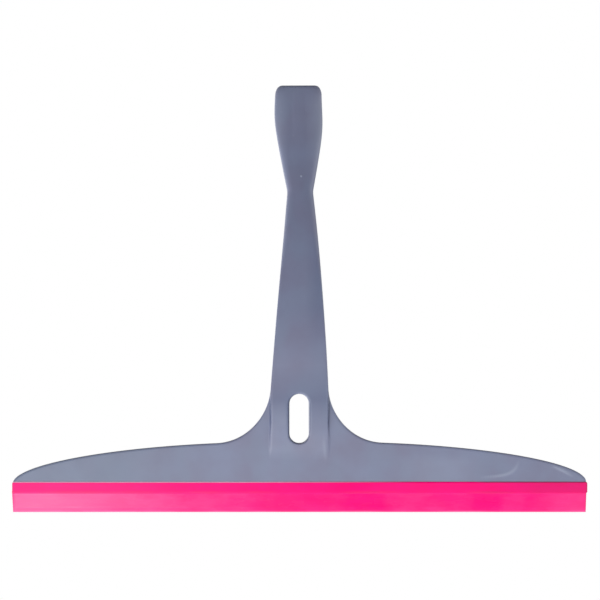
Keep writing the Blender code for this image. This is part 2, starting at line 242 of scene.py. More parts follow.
def width_at(height):
    """Half width of the handle at a height, found by halving along the Bezier that holds it."""
    if height <= HANDLE_FOOT:
        down = max(0.0, (FLARE_TOP - height) / (FLARE_TOP - HANDLE_BOTTOM))
        return BOSS_HALF_WIDTH + FLARE * down**1.5
    points = LOWER_WIDTH if height <= WAIST else UPPER_WIDTH
    low, high = 0.0, 1.0
    for _ in range(30):
        middle = (low + high) / 2
        if cubic(points, middle).y < height:
            low = middle
        else:
            high = middle
    return cubic(points, low).x


def slopes(xs, ys):
    """Slopes of a smooth curve through the points that never overshoots them."""
    steps = [(ys[i + 1] - ys[i]) / (xs[i + 1] - xs[i]) for i in range(len(xs) - 1)]
    inner = [2 * a * b / (a + b) if a * b > 0 else 0.0 for a, b in zip(steps, steps[1:])]
    return [steps[0], *inner, steps[-1]]


def curve_at(xs, ys, x):
    """The value at x of a smooth curve through the points, held level past its two ends."""
    x = min(max(x, xs[0]), xs[-1])
    k = max(i for i in range(len(xs) - 1) if xs[i] <= x)
    span = xs[k + 1] - xs[k]
    t = (x - xs[k]) / span
    m = slopes(xs, ys)
    return (
        (2 * t**3 - 3 * t**2 + 1) * ys[k]
        + (t**3 - 2 * t**2 + t) * span * m[k]
        + (3 * t**2 - 2 * t**3) * ys[k + 1]
        + (t**3 - t**2) * span * m[k + 1]
    )


def section_at(height):
    """The row of SECTIONS at any height, in metres, without the height."""
    heights, *columns = zip(*SECTIONS)
    return [curve_at(heights, column, height / MM) * MM for column in columns]


def centre_line(height):
    """How far back the handle's centre line lies: straight, then one arc, then leaning straight."""
    radius = (LEAN_END - LEAN_START) / math.sin(LEAN)
    if height <= LEAN_START:
        return 0.0
    if height <= LEAN_END:
        return radius - math.sqrt(radius**2 - (height - LEAN_START) ** 2)
    return radius * (1 - math.cos(LEAN)) + (height - LEAN_END) * math.tan(LEAN)


def ring(height, half_width, front, back, round_x, round_y, crown):
    """One closed section of the handle, anticlockwise from above, with square back edges."""
    flat = half_width - round_x
    points = [(half_width, back), (-half_width, back)]
    for i in range(ARC_STEPS + 1):
        a = math.pi / 2 * i / ARC_STEPS
        points.append((-flat - round_x * math.cos(a), front + round_y * (1 - math.sin(a))))
    for i in range(1, CROWN_STEPS):
        u = 2 * i / CROWN_STEPS - 1
        points.append((flat * u, front - crown * (1 - u * u)))
    for i in range(ARC_STEPS, -1, -1):
        a = math.pi / 2 * i / ARC_STEPS
        points.append((flat + round_x * math.cos(a), front + round_y * (1 - math.sin(a))))
    return [Vector((x, y, height)) for x, y in points]


def draw_in(height, corner):
    """How far a corner, given by its reach across and down from the handle's top, has drawn in."""
    across, down = corner
    near = min(1.0, max(0.0, 1 - (HANDLE_TOP - height) / down))
    return across * (1 - math.sqrt(1 - near**2))


def handle_ring(height):
    """The handle's outer section, drawn in where its top is rounded."""
    front, back, round_x, round_y, crown = section_at(height)
    y = centre_line(height)
    half_width = width_at(height) - draw_in(height, TOP_CORNER)
    shallow = draw_in(height, TOP_FRONT)
    points = ring(
        height,
        half_width,
        y - front + shallow,
        y + back - shallow,
        min(round_x, half_width - MM),
        round_y - shallow,
        crown,
    )
    dip = TOP_DIP * max(0.0, 1 - (HANDLE_TOP - height) / TOP_CORNER[1])
    for p in points:
        p.z -= dip * (1 - min(1.0, abs(p.x) / width_at(HANDLE_TOP - TOP_CORNER[1])) ** 2)
    return points


def core_ring(height):
    """The hollow inside the handle at a height. It runs out past the open back."""
    front, back, round_x, round_y, crown = section_at(height)
    y = centre_line(height)
    return ring(
        height,
        width_at(height) - WALL,
        y - front + SKIN,
        y + back + CORE_OVERRUN,
        max(CORE_ROUND, round_x - WALL),
        max(CORE_ROUND, round_y - SKIN),
        crown,
    )


def spaced(low, high, step):
    """Values from low to high, evenly spaced by about step."""
    count = max(1, round((high - low) / step))
    return [low + (high - low) * i / count for i in range(count + 1)]


def link(name, data):
    """A new object in the scene that shows the data."""
    obj = bpy.data.objects.new(name, data)
    bpy.context.scene.collection.objects.link(obj)
    return obj


def lift(mesh):
    """Moves a mesh made in heights above the wiping edge into the row frame."""
    for v in mesh.vertices:
        v.co.z += EDGE


def loft(name, stacks):
    """A mesh of one closed loft for each stack of rings."""
    bm = bmesh.new()
    for rings in stacks:
        rows = [[bm.verts.new(p) for p in points] for points in rings]
        for low, high in zip(rows, rows[1:]):
            for i in range(len(low)):
                j = (i + 1) % len(low)
                bm.faces.new((low[i], low[j], high[j], high[i]))
        bm.faces.new(rows[0][::-1])
        bm.faces.new(rows[-1])
    mesh = bpy.data.meshes.new(name)
    bm.to_mesh(mesh)
    bm.free()
    return link(name, mesh)


def applied(obj):
    """Applies an object's modifiers, and its place, to its mesh."""
    bpy.context.view_layer.update()
    graph = bpy.context.evaluated_depsgraph_get()
    mesh = bpy.data.meshes.new_from_object(obj.evaluated_get(graph), depsgraph=graph)
    mesh.transform(obj.matrix_world)
    name = obj.name
    bpy.data.objects.remove(obj)
    return link(name, mesh)


def outline_solid(name, knots, half_thickness, edge, resolution):
    """A flat outline stood up in the XZ plane, given thickness and rounded edges."""
    curve = bpy.data.curves.new(name, "CURVE")
    curve.dimensions = "2D"
    curve.fill_mode = "BOTH"
    curve.extrude = half_thickness - edge
    curve.bevel_depth = edge
    curve.bevel_resolution = 4
    curve.offset = -edge
    curve.resolution_u = resolution
    line = curve.splines.new("BEZIER")
    line.bezier_points.add(len(knots) - 1)
    for point, (at, before, after) in zip(line.bezier_points, knots):
        point.handle_left_type = "VECTOR" if tuple(before) == tuple(at) else "FREE"
        point.handle_right_type = "VECTOR" if tuple(after) == tuple(at) else "FREE"
        point.co = (*at, 0)
        point.handle_left = (*before, 0)
        point.handle_right = (*after, 0)
    line.use_cyclic_u = True
    obj = link(name, curve)
    obj.rotation_euler = (math.pi / 2, 0, 0)
    obj = applied(obj)
    bm = bmesh.new()
    bm.from_mesh(obj.data)
    bmesh.ops.remove_doubles(bm, verts=bm.verts, dist=MERGE)
    bm.to_mesh(obj.data)
    bm.free()
    return obj


def head_knots():
    """The head plate's outline, anticlockwise, with a skirt that runs down inside the blade's band."""
    shoulder = [cubic(SHOULDER, 0), *(Vector(p) * MM for p in SHOULDER[1:])]
    fillet = [Vector(p) * MM for p in FILLET]
    right = [
        (Vector((TONGUE_HALF_LENGTH, TONGUE_BOTTOM)),) * 3,
        (shoulder[0], shoulder[0], shoulder[1]),
        (shoulder[3], shoulder[2], fillet[1]),
        (fillet[3], fillet[2], fillet[3]),
        (Vector((fillet[3].x - PLATE_TOP_INSET, PLATE_TOP)),) * 3,
    ]
    left = [
        tuple(Vector((-p.x, p.y)) for p in (at, after, before))
        for at, before, after in reversed(right)
    ]
    return right + left


def slot_outline(grow):
    """Points round the hanging slot, grown by a margin: two half circles joined by straight sides."""
    radius = SLOT_RADIUS + grow
    points = []
    for centre, start in ((SLOT_TOP - SLOT_RADIUS, 0), (SLOT_BOTTOM + SLOT_RADIUS, math.pi)):
        for i in range(SLOT_ARC_STEPS + 1):
            a = start + math.pi * i / SLOT_ARC_STEPS
            points.append((SLOT_ACROSS + radius * math.cos(a), centre + radius * math.sin(a)))
    return points


def slot_ring(grow, depth_at):
    """The slot's outline laid on a surface whose depth depends on the height."""
    return [Vector((x, depth_at(z), z)) for x, z in slot_outline(grow)]


def slot_cutter():
    """A prism through the slot, a little wider at the front, with a quarter round at both faces."""
    faces = ((1, 0.0, lambda z: section_at(z)[1]), (-1, SLOT_DRAFT, lambda z: -section_at(z)[0]))
    rings = []
    for side, draft, surface in faces:
        flare = [slot_ring(draft + SLOT_RIM, lambda z: surface(z) + side * SLOT_FLARE_DEPTH)]
        for degrees in (90, 60, 30, 0):
            a = math.radians(degrees)
            sunk = SLOT_RIM * (1 - math.sin(a))
            grow = draft + SLOT_RIM * (1 - math.cos(a))
            flare.append(slot_ring(grow, lambda z: surface(z) - side * sunk))
        rings += flare if side == 1 else flare[::-1]
    return loft("slot_cutter", [rings])


def slot_collar():
    """The wall kept round the slot between the handle's hollows, as a straight prism."""
    rings = [slot_ring(COLLAR, lambda z, y=y: y) for y in (COLLAR_REACH, -COLLAR_REACH)]
    return loft("slot_collar", [rings])


def boolean(obj, cutter, operation):
    """Adds or takes away another solid, once the modifiers are applied."""
    modifier = obj.modifiers.new(cutter.name, "BOOLEAN")
    modifier.operation = operation
    modifier.solver = "EXACT"
    modifier.object = cutter


def handle_outside():
    """The handle's closed outer form, from inside the plate to its rounded top."""
    heights = spaced(HANDLE_BOTTOM, HANDLE_TOP - TOP_CORNER[1], RING_STEP)
    rings = [handle_ring(z) for z in heights]
    for degrees in range(10, 91, 10):
        a = math.radians(degrees)
        z = HANDLE_TOP - TOP_CORNER[1] * (1 - math.sin(a))
        rings.append(handle_ring(z))
    return loft("handle_outside", [rings])


def upper_bays():
    """The low and high ends of the hollows above the slot's. The gaps between them are the ribs."""
    edges = spaced(SLOT_BAY_TOP, CORE_TOP + RIB, (CORE_TOP - SLOT_BAY_TOP) / BAYS_ABOVE_SLOT)
    return [(low, high - RIB) for low, high in zip(edges, edges[1:])]


def handle_cores():
    """The hollows in the handle's back. The walls left between them are its cross ribs."""
    bays = [(CORE_BOTTOM, SLOT_BAY_TOP - RIB), *upper_bays()]
    stacks = [[core_ring(z) for z in spaced(low, high, CORE_STEP)] for low, high in bays]
    return loft("handle_cores", stacks)


def warp(bm):
    """The slight warp of the real moulding: the handle sways sideways, and the head sits tilted."""
    heights, shifts = zip(*WARP)
    for v in bm.verts:
        v.co.z += HEAD_TILT * v.co.x
        v.co.x += curve_at(heights, shifts, v.co.z / MM) * MM


def rounded_by_voxels(obj):
    """Remeshes a crisp solid finely, then smooths it, so that its edges and inner corners are moulded."""
    remesh = obj.modifiers.new("Remesh", "REMESH")
    remesh.mode = "VOXEL"
    remesh.voxel_size = VOXEL
    remesh.use_smooth_shade = True
    smooth = obj.modifiers.new("Smooth", "SMOOTH")
    smooth.factor = 0.5
    smooth.iterations = SMOOTH_PASSES
    return applied(obj)


def smooth_step(t):
    """Rises smoothly from 0 to 1 as t does."""
    t = min(1.0, max(0.0, t))
    return t * t * (3 - 2 * t)


def flow_points():
    """Points along the flow lines, and how strong each line is there. The lines fade out at their ends."""
    steps = [i / FLOW_STEPS for i in range(FLOW_STEPS + 1)]
    return [
        (cubic(line, t), strength * math.sin(math.pi * t) ** 0.7)
        for strength, line in FLOW_LINES
        for t in steps
    ]


def raise_flow_lines(bm):
    """Lifts the front of the plate slightly along the flow lines, and marks how near each point is."""
    marked = bm.verts.layers.float.new("flow")
    points = flow_points()
    low = min(p.x for p, strength in points) - FLOW_REACH
    for v in bm.verts:
        if v.co.x < low or v.normal.y > -0.5 or v.co.z > PLATE_TOP:
            continue
        away = [((v.co.xz - p).length / FLOW_WIDTH, strength) for p, strength in points]
        v[marked] = max(strength * math.exp(-(reach**2)) for reach, strength in away)
        v.co.y -= FLOW_HEIGHT * v[marked]


def raise_gate_mark(bm):
    """A small pale dome on the front of the grip, where the plastic was let into the mould."""
    marked = bm.verts.layers.float["flow"]
    x, z = (value * MM for value in GATE_MARK)
    near = [
        f
        for f in bm.faces
        if f.normal.y < 0 and (f.calc_center_median().xz - Vector((x, z))).length < 2 * GATE_RADIUS
    ]
    edges = list({e for f in near for e in f.edges})
    bmesh.ops.subdivide_edges(bm, edges=edges, cuts=2, use_grid_fill=True)
    for v in bm.verts:
        reach = (v.co.xz - Vector((x, z))).length / GATE_RADIUS
        if reach < 1 and v.normal.y < 0:
            v[marked] = 1
            v.co.y -= GATE_HEIGHT * math.sqrt(1 - reach**2)


def ejector_places():
    """Where the ejector pins pressed on the back: the plate's wings and the floor of each hollow."""
    places = [(side * x * MM, z * MM) for x, z in EJECTORS_ON_PLATE for side in (-1, 1)]
    return places + [(0, (low + high) / 2) for low, high in upper_bays()]


def press_ejector_marks(bm):
    """Shallow round dents in the surfaces that face back."""
    for x, z in ejector_places():
        for v in bm.verts:
            if v.normal.y < 0.5:
                continue
            reach = (v.co.xz - Vector((x, z))).length
            v.co.y -= EJECTOR_DEPTH * smooth_step((EJECTOR_RADIUS - reach) / EJECTOR_EDGE + 0.5)


def mould_marks(mesh):
    """Adds the marks and the warp that moulding leaves."""
    bm = bmesh.new()
    bm.from_mesh(mesh)
    bm.normal_update()
    raise_flow_lines(bm)
    press_ejector_marks(bm)
    raise_gate_mark(bm)
    warp(bm)
    bm.to_mesh(mesh)
    bm.free()


def thinned(obj):
    """Takes faces out where the surface is flat, and lets the large flat faces set the shading."""
    thin = obj.modifiers.new("Decimate", "DECIMATE")
    thin.ratio = min(1.0, BODY_FACES / sum(len(f.vertices) - 2 for f in obj.data.polygons))
    weigh = obj.modifiers.new("WeightedNormal", "WEIGHTED_NORMAL")
    weigh.mode = "FACE_AREA"
    weigh.keep_sharp = False
    return applied(obj)


def build_moulded_body():
    """The head and handle: crisp solids joined and cut, then rounded, marked and thinned."""
    body = outline_solid("moulded_body", head_knots(), PLATE_HALF_THICKNESS, PLATE_EDGE, 32)
    outside, cores = handle_outside(), handle_cores()
    collar, slot = slot_collar(), slot_cutter()
    boolean(cores, collar, "DIFFERENCE")
    boolean(body, outside, "UNION")
    boolean(body, cores, "DIFFERENCE")
    boolean(body, slot, "DIFFERENCE")
    body = applied(body)
    for used in (outside, cores, collar, slot):
        bpy.data.objects.remove(used)
    body = rounded_by_voxels(body)
    mould_marks(body.data)
    lift(body.data)
    body.data.shade_smooth()
    body = thinned(body)
    body.data.materials.clear()
    body.data.materials.append(plastic_material())
    return body


def rounded_box_knots(half_width, low, high, radius):
    """A rectangle's outline with round corners, anticlockwise from its lower left side."""
    k = radius * ROUND_HANDLE
    knots = []
    for sx, sz in ((-1, -1), (1, -1), (1, 1), (-1, 1)):
        side = Vector((sx * half_width, (low if sz < 0 else high) - sz * radius))
        level = Vector((sx * (half_width - radius), low if sz < 0 else high))
        pair = [
            (side, side, side + Vector((0, sz * k))),
            (level, level + Vector((sx * k, 0)), level),
        ]
        if sx * sz < 0:
            pair = [(at, after, before) for at, before, after in reversed(pair)]
        knots += pair
    return knots


def band_solid():
    """The band, thinned at its top to a feather edge that lies against the plate."""
    knots = rounded_box_knots(BAND_HALF_LENGTH, BAND_BOTTOM, BAND_TOP, BAND_CORNER)
    band = outline_solid("pink_blade", knots, BAND_HALF_THICKNESS, BAND_EDGE, 8)
    bm = bmesh.new()
    bm.from_mesh(band.data)
    start = BAND_TOP - FEATHER_HEIGHT
    for z in spaced(start, BAND_TOP - BAND_EDGE, FEATHER_STEP):
        everything = list(bm.verts) + list(bm.edges) + list(bm.faces)
        bmesh.ops.bisect_plane(bm, geom=everything, plane_co=(0, 0, z), plane_no=(0, 0, 1))
    for v in bm.verts:
        along = min(1.0, max(0.0, (v.co.z - start) / FEATHER_HEIGHT))
        v.co.y *= 1 - (1 - FEATHER_HALF / BAND_HALF_THICKNESS) * along**1.5
        v.co.x += BAND_LEFT_TRIM * max(0.0, -v.co.x / BAND_HALF_LENGTH)
    bm.to_mesh(band.data)
    bm.free()
    return band


def lip_profile():
    """Half of the lip's section as (half thickness, height), from inside the band down to the edge."""
    points = [(LIP_ROOT_HALF + LIP_FILLET, BAND_BOTTOM + MM)]
    for degrees in range(0, 91, 30):
        a = math.radians(degrees)
        half = LIP_ROOT_HALF + LIP_FILLET * (1 - math.sin(a))
        points.append((half, BAND_BOTTOM - LIP_FILLET * (1 - math.cos(a))))
    low = points[-1][1]
    for i in range(1, LIP_FACE_STEPS + 1):
        t = i / LIP_FACE_STEPS
        half = LIP_ROOT_HALF + (LIP_BEVEL_HALF - LIP_ROOT_HALF) * t
        points.append((half, low + (LIP_BEVEL_HEIGHT - low) * t))
    for i in range(1, LIP_BEVEL_STEPS + 1):
        t = i / LIP_BEVEL_STEPS
        half = LIP_BEVEL_HALF + (LIP_TIP_HALF - LIP_BEVEL_HALF) * t
        points.append((half, LIP_BEVEL_HEIGHT * (1 - t)))
    return points


def lip_section(u, squeeze):
    """The lip's closed section at u, from -1 to 1 along its length. It is a little shorter at its tip."""
    half = [(y * squeeze, z) for y, z in lip_profile()]
    points = []
    for y, z in half + [(-y, z) for y, z in reversed(half)]:
        root = LIP_ROOT_HALF_LENGTH + LIP_LEFT_FLARE * max(0.0, -u)
        reach = LIP_TIP_HALF_LENGTH + (root - LIP_TIP_HALF_LENGTH) * z / BAND_BOTTOM
        points.append(Vector((u * reach, y + lip_wave(u * reach, z), z)))
    return points


def lip_wave(x, z):
    """How far the soft lip waves out of its plane, more towards its free edge."""
    slack = max(0.0, 1 - z / BAND_BOTTOM) ** 1.3
    wave = math.sin(x / (19 * MM) + 0.6) + 0.7 * math.sin(x / (11.3 * MM) + 2.1)
    return LIP_WAVE * wave * slack


def lip_solid():
    """The lip, lofted along X, with its ends slightly rounded."""
    inner = 1 - LIP_END_ROUND / LIP_ROOT_HALF_LENGTH
    right_end = [(1 - (1 - inner) * share, squeeze) for share, squeeze in reversed(LIP_END_SQUEEZE)]
    left_end = [(-u, squeeze) for u, squeeze in reversed(right_end)]
    between = spaced(-1, 1, LIP_STATION_STEP / LIP_ROOT_HALF_LENGTH)
    stations = left_end + [(u * inner, 1.0) for u in between] + right_end
    obj = loft("lip_solid", [[lip_section(u, squeeze) for u, squeeze in stations]])
    bm = bmesh.new()
    bm.from_mesh(obj.data)
    bmesh.ops.recalc_face_normals(bm, faces=bm.faces)
    bm.to_mesh(obj.data)
    bm.free()
    return obj


def build_pink_blade():
    """The blade: the band and the lip joined into one closed piece."""
    blade, lip = band_solid(), lip_solid()
    boolean(blade, lip, "UNION")
    blade = applied(blade)
    bpy.data.objects.remove(lip)
    lift(blade.data)
    blade.data.shade_smooth()
    blade.data.set_sharp_from_angle(angle=math.radians(40))
    blade.data.materials.clear()
    blade.data.materials.append(blade_material())
    return blade


class Nodes:
    """A short way to add shader nodes and join them."""

    def __init__(self, name):
        self.material = bpy.data.materials.new(name)
        self.material.use_nodes = True
        self.tree = self.material.node_tree
        self.shader = self.tree.nodes["Principled BSDF"]
        self.place = self.add("ShaderNodeTexCoord").outputs["Object"]

    def add(self, kind, **values):
        node = self.tree.nodes.new(kind)
        for key, value in values.items():
            if key in node.inputs:
                node.inputs[key].default_value = value
            else:
                setattr(node, key, value)
        return node

    def join(self, out, into):
        self.tree.links.new(out, into)

    def set(self, name, value):
        """Gives one of the surface's inputs a constant value, or joins a node's output to it."""
        if isinstance(value, bpy.types.NodeSocket):
            self.join(value, self.shader.inputs[name])
        else:
            self.shader.inputs[name].default_value = value

    def across_and_height(self):
        """How far each point lies along X, and up from the wiping edge."""
        parts = self.add("ShaderNodeSeparateXYZ")
        self.join(self.place, parts.inputs[0])
        return parts.outputs["X"], self.math("SUBTRACT", parts.outputs["Z"], EDGE)

    def noise(self, scale, detail=2.0, roughness=0.5, stretch=(1, 1, 1)):
        mapping = self.add("ShaderNodeMapping")
        mapping.inputs["Scale"].default_value = stretch
        self.join(self.place, mapping.inputs["Vector"])
        noise = self.add("ShaderNodeTexNoise", Scale=scale, Detail=detail, Roughness=roughness)
        self.join(mapping.outputs["Vector"], noise.inputs["Vector"])
        return noise.outputs["Fac"]

    def spread(self, value, low, high, to_low=0.0, to_high=1.0):
        """Carries the span from low to high over to another span, and holds it level past the ends."""
        node = self.add("ShaderNodeMapRange")
        node.inputs["From Min"].default_value = low
        node.inputs["From Max"].default_value = high
        node.inputs["To Min"].default_value = to_low
        node.inputs["To Max"].default_value = to_high
        self.join(value, node.inputs["Value"])
        return node.outputs["Result"]

    def between(self, value, rise, fall):
        """1 between two slopes and 0 outside them. Each slope is given as (from, to), in mm."""
        up = self.spread(value, rise[0] * MM, rise[1] * MM)
        down = self.spread(value, fall[0] * MM, fall[1] * MM, 1.0, 0.0)
        return self.times(up, down)

    def mix(self, factor, a, b):
        node = self.add("ShaderNodeMix", data_type="RGBA")
        for socket, value in ((node.inputs[6], a), (node.inputs[7], b)):
            if isinstance(value, bpy.types.NodeSocket):
                self.join(value, socket)
            else:
                socket.default_value = value
        self.join(factor, node.inputs[0])
        return node.outputs[2]

    def math(self, operation, a, b=0.0):
        node = self.add("ShaderNodeMath", operation=operation)
        for socket, value in zip(node.inputs, (a, b)):
            if isinstance(value, bpy.types.NodeSocket):
                self.join(value, socket)
            else:
                socket.default_value = value
        return node.outputs[0]

    def times(self, a, b):
        return self.math("MULTIPLY", a, b)

    def most(self, a, b):
        return self.math("MAXIMUM", a, b)

    def bump(self, height, distance, strength, under=None):
        node = self.add("ShaderNodeBump", Strength=strength, Distance=distance)
        self.join(height, node.inputs["Height"])
        if under is not None:
            self.join(under, node.inputs["Normal"])
        return node.outputs["Normal"]


def painted_shade_lines(n, x, height):
    """Where the plastic is painted darkest, as painted shade: along the boss's upper sides, and down the
    slot's left wall.
    """
    from_side = n.math("SUBTRACT", n.math("ABSOLUTE", x), BOSS_HALF_WIDTH)
    sides = n.times(n.between(from_side, (-0.9, -0.3), (0.3, 0.9)), n.between(height, (42, 47), (58, 66)))
    wall = n.times(n.between(x, (-6.0, -5.7), (-5.0, -4.7)), n.between(height, (37, 41), (57, 61)))
    return n.most(n.times(sides, 0.4), n.times(wall, 0.6))


def shade_and_darkening(n, x, height):
    """How much the plastic darkens: painted shade a little up the handle and on its right side, and more
    darkening round the slot.
    """
    low = n.spread(height, 70 * MM, 105 * MM, 0.0, 0.11)
    high = n.spread(height, 180 * MM, 205 * MM, 0.11, 0.03)
    right = n.times(n.spread(x, 3 * MM, 9 * MM, 0.0, 0.12), n.between(height, (84, 104), (130, 150)))
    handle_shade = n.math("ADD", n.math("MINIMUM", low, high), right)
    inside = n.spread(n.math("ABSOLUTE", x), 13.6 * MM, 15.2 * MM, 0.30, 0.0)
    round_slot = n.times(inside, n.between(height, (32, 52), (60, 78)))
    return n.most(n.most(handle_shade, round_slot), painted_shade_lines(n, x, height))


def paled_and_highlit(n, x, height):
    """How much the plastic pales: on the grip's sides, a painted highlight, and in a broad patch on the
    right wing.
    """
    right = n.spread(x, 3 * MM, 9 * MM, 0.0, 0.4)
    left = n.spread(x, -6 * MM, -10 * MM, 0.0, 0.25)
    grip_highlight = n.times(n.most(right, left), n.between(height, (172, 192), (214, 223)))
    wing = n.times(n.between(x, (48, 66), (82, 98)), n.between(height, (12, 18), (26, 31)))
    return n.most(grip_highlight, n.times(wing, 0.24))


def plastic_colour(n, pointed, edges):
    """Cloudy blue-grey; paler on the edges, partly wear and partly a painted highlight, and a painted
    highlight on the grip's sides and along the flow lines; painted shade in inner corners and up the handle,
    and darker round the slot.
    """
    x, height = n.across_and_height()
    clouds = n.spread(n.noise(45, 3, 0.55), 0.35, 0.65)
    colour = n.mix(clouds, PLASTIC_DARK, PLASTIC_LIGHT)
    tint = n.spread(n.noise(90, 1, 0.4, (1, 1, 0.5)), 0.45, 0.62, 0.0, 0.4)
    colour = n.mix(tint, colour, PLASTIC_TINT)
    colour = n.mix(n.spread(x, -40 * MM, -100 * MM, 0.0, 0.4), colour, PLASTIC_GREEN)
    # Painted highlight on the grip's sides, and a paler patch on the right wing.
    colour = n.mix(paled_and_highlit(n, x, height), colour, PLASTIC_PALE)
    flow = n.add("ShaderNodeAttribute", attribute_name="flow").outputs["Fac"]
    # Paler along the flow lines, a painted highlight over their slight raised line, and on the gate mark.
    colour = n.mix(n.times(flow, 0.85), colour, PLASTIC_PALE)
    # Convex edges paler: partly wear, partly a painted highlight.
    colour = n.mix(edges, colour, PLASTIC_WORN_SHEEN)
    # Painted shade in inner corners and creases.
    colour = n.mix(n.spread(pointed, 0.48, 0.43, 0.0, 0.6), colour, PLASTIC_DEEP)
    # Painted shade up the handle, on its right side, along the boss and down the slot wall; darker round the
    # slot.
    return n.mix(shade_and_darkening(n, x, height), colour, PLASTIC_DEEP)


def plastic_material():
    """Satin moulded plastic: fine spark grain, soft waves, and slightly polished outer edges."""
    n = Nodes("blue_grey_plastic")
    pointed = n.add("ShaderNodeNewGeometry").outputs["Pointiness"]
    # Convex edges: glossier, and painted paler in colour, partly wear and partly a painted highlight.
    edges = n.spread(pointed, 0.53, 0.60, 0.0, 0.15)
    rough = n.spread(n.noise(160, 4, 0.6), 0.3, 0.7, 0.38, 0.48)
    waves = n.bump(n.noise(110, 2, 0.5), 0.25 * MM, 0.12)
    grain = n.bump(n.noise(3200, 2, 0.6), 0.04 * MM, 0.35, waves)
    n.set("Base Color", plastic_colour(n, pointed, edges))
    n.set("Roughness", n.math("SUBTRACT", rough, n.times(edges, 0.3)))
    n.set("Normal", grain)
    n.set("Specular IOR Level", 0.45)
    return n.material


def lip_painted_glare(n, x):
    """How pale the lip is, as painted glare: cloudy, fuller to the left, and less in a few deep patches."""
    clouds = n.spread(n.noise(75, 3, 0.55, (0.8, 1, 2)), 0.4, 0.6, 0.5, 1.0)
    glare_amount = n.times(clouds, n.spread(x, -70 * MM, 0.0, 1.0, 0.65))
    wobbled = n.math("ADD", x, n.spread(n.noise(90, 2, 0.5), 0.3, 0.7, -4 * MM, 4 * MM))
    for middle, half_length, strength in DEEP_PATCHES:
        away = n.math("ABSOLUTE", n.math("SUBTRACT", wobbled, middle * MM))
        kept = n.spread(away, 0.5 * half_length * MM, 1.2 * half_length * MM, 1 - strength, 1.0)
        glare_amount = n.times(glare_amount, kept)
    return glare_amount


def end_painted_glare(n, x, on_lip):
    """How much painted glare pales the blade towards its two ends, less on the band than on the lip."""
    left = n.spread(x, -60 * MM, -130 * MM, 0.0, 0.6)
    right = n.spread(x, 118 * MM, 148 * MM, 0.0, 0.2)
    return n.times(n.spread(on_lip, 0.0, 1.0, 0.2, 1.0), n.most(left, right))


def band_painted_shade(n, x, height):
    """How much painted shade darkens the band: at its right end, and in patches along its lower edge."""
    right_end = n.spread(x, 95 * MM, 125 * MM, 0.0, 0.28)
    low = n.spread(height, BAND_BOTTOM + 1.8 * MM, BAND_BOTTOM + 0.4 * MM, 0.0, 0.3)
    patches = n.spread(n.noise(48, 2, 0.5, (0.7, 1, 1)), 0.4, 0.6)
    return n.most(right_end, n.times(low, patches))


def feather_light_and_shade(n, x):
    """The thin edge along the band's top: a painted highlight at the left, deeper to the right, a painted
    shadow line at the right end.
    """
    feather = n.mix(n.spread(x, -30 * MM, 60 * MM), PINK_FEATHER_HIGHLIGHT, PINK_DEEP)
    return n.mix(n.spread(x, 92 * MM, 98 * MM), feather, PINK_SHADED)


def blade_colour(n, x, height, on_lip):
    """Deep pink, paler in clouds of painted glare on the lip, with a painted highlight and shadow along the
    band's top, painted shade at the ends, and its own colour at the tip.
    """
    on_band = n.math("SUBTRACT", 1.0, on_lip)
    clouds = n.spread(n.noise(70, 3, 0.5, (0.6, 1, 1.6)), 0.35, 0.65)
    colour = n.mix(clouds, PINK_DEEP, PINK)
    # Painted glare on the lip, in pale clouds.
    colour = n.mix(n.times(on_lip, lip_painted_glare(n, x)), colour, PINK_PALE)
    pale_band = n.times(n.between(x, (30, 60), (95, 120)), 0.2)
    colour = n.mix(n.times(on_band, pale_band), colour, PINK_PALE)
    # Painted glare towards the blade's ends, mostly at the left.
    colour = n.mix(end_painted_glare(n, x, on_lip), colour, PINK_GLARE)
    # Painted shade at the band's right end and along its lower edge.
    colour = n.mix(n.times(on_band, band_painted_shade(n, x, height)), colour, PINK_SHADED)
    # Painted shade on the rounded ends of the band and lip.
    end_shade = n.spread(n.math("ABSOLUTE", x), BAND_HALF_LENGTH - 1.1 * MM, BAND_HALF_LENGTH - 0.6 * MM)
    colour = n.mix(n.times(end_shade, 0.4), colour, PINK_SHADED)
    # Painted highlight along the band's top edge, and a painted shadow line at its right end.
    top_edge_light_and_shade = n.spread(height, BAND_TOP - FEATHER_HEIGHT, BAND_TOP - 0.3 * MM)
    colour = n.mix(top_edge_light_and_shade, colour, feather_light_and_shade(n, x))
    tip = n.spread(height, 0.8 * MM, 0.4 * MM)
    worn = n.spread(n.noise(40, 2, 0.5), 0.4, 0.6, 0.3, 0.8)
    return n.mix(n.times(tip, worn), colour, PINK_TIP)


def blade_material():
    """Soft saturated elastomer with faint drag lines. The lip is ground smoother than the band."""
    n = Nodes("pink_elastomer")
    x, height = n.across_and_height()
    on_lip = n.spread(height, BAND_BOTTOM, BAND_BOTTOM - 0.4 * MM)
    rough = n.spread(n.noise(220, 3, 0.6, (0.3, 1, 1)), 0.3, 0.7, 0.29, 0.37)
    lines = n.bump(n.noise(900, 2, 0.5, (0.03, 1, 1)), 0.05 * MM, 0.15)
    skin = n.bump(n.noise(2600, 2, 0.6), 0.03 * MM, 0.2, lines)
    n.set("Base Color", blade_colour(n, x, height, on_lip))
    n.set("Roughness", n.math("SUBTRACT", rough, n.times(on_lip, 0.06)))
    n.set("Normal", skin)
    n.set("Specular IOR Level", 0.11)
    # Painted glow: a faint light from the blade itself, to brighten its pink.
    n.set("Emission Color", PINK_PAINTED_GLOW)
    n.set("Emission Strength", 0.08)
    n.set("Subsurface Weight", 0.08)
    n.set("Subsurface Radius", (1.2 * MM, 0.3 * MM, 0.5 * MM))
    n.set("Subsurface Scale", 1.0)
    return n.material


